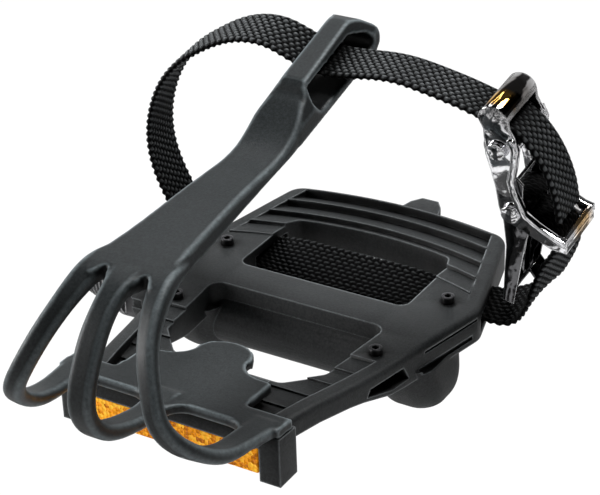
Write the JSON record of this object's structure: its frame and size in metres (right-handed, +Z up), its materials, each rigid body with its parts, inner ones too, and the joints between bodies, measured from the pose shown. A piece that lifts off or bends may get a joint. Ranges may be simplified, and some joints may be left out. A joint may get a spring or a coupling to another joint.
{
  "type": "toe clip pedal",
  "caption": "Black platform bicycle pedal with a fingered toe clip, woven strap and chrome quick-release buckle, amber front reflector and threaded spindle.",
  "frame": {"origin": "on the spindle axis where the crank thread ends at the flange", "axes": "+X along the spindle away from the crank, +Y towards the heel, +Z up out of the platform"},
  "size_m": [0.1426, 0.1723, 0.0959],
  "materials": {
    "platform_resin": "moulded black resin with a fine grain",
    "clip_resin": "moulded black resin, satin",
    "pin_black": "black finished steel",
    "zinc_steel": "bright zinc plated",
    "amber_lens": "amber prismatic lens",
    "amber_base": "amber moulding",
    "webbing": "woven black webbing",
    "buckle_chrome": "bright nickel and chrome plate",
    "axle_steel": "turned steel",
    "bolt_resin": "black resin",
    "seal_rubber": "black rubber lip",
    "bushing_resin": "pale bearing resin"
  },
  "bodies": {
    "axle": {"spindle": "axle_steel", "bearing_cone": "axle_steel", "lock_washer": "axle_steel", "lock_nut": "axle_steel"},
    "platform": {"pedal_body": "platform_resin", "traction_pins": "pin_black", "toe_clip": "clip_resin", "clip_screws": "zinc_steel", "clip_washers": "zinc_steel", "reflector_base": "amber_base", "front_reflector": "amber_lens", "strap": "webbing", "buckle_frame": "buckle_chrome", "buckle_rivets": "buckle_chrome", "lock_bolt": "bolt_resin", "spindle_seal": "seal_rubber", "axle_sleeve": "axle_steel", "inboard_bushing": "bushing_resin"},
    "balls": {"bearing_balls": "axle_steel"},
    "roller": {"buckle_roller": "buckle_chrome"},
    "lever": {"buckle_lever": "buckle_chrome"}
  },
  "joints": [
    {"name": "platform_spin", "type": "hinge", "parent": "axle", "child": "platform", "pos_m": [0.0595, 0, 0], "axis": [1, 0, 0], "continuous": true},
    {"name": "ball_ring", "type": "hinge", "parent": "axle", "child": "balls", "pos_m": [0.086, 0, 0], "axis": [1, 0, 0], "continuous": true},
    {"name": "roller_spin", "type": "hinge", "parent": "platform", "child": "roller", "pos_m": [0.1123, 0.01224, 0.06603], "axis": [0, 0.9877, 0.1564], "continuous": true},
    {"name": "lever_pivot", "type": "hinge", "parent": "platform", "child": "lever", "pos_m": [0.1152, 0.01512, 0.04785], "axis": [0, 0.9877, 0.1564], "range_deg": [0, 48]}
  ],
  "couplings": [
    {"joint": "ball_ring", "follows": "platform_spin", "ratio": 0.612}
  ]
}
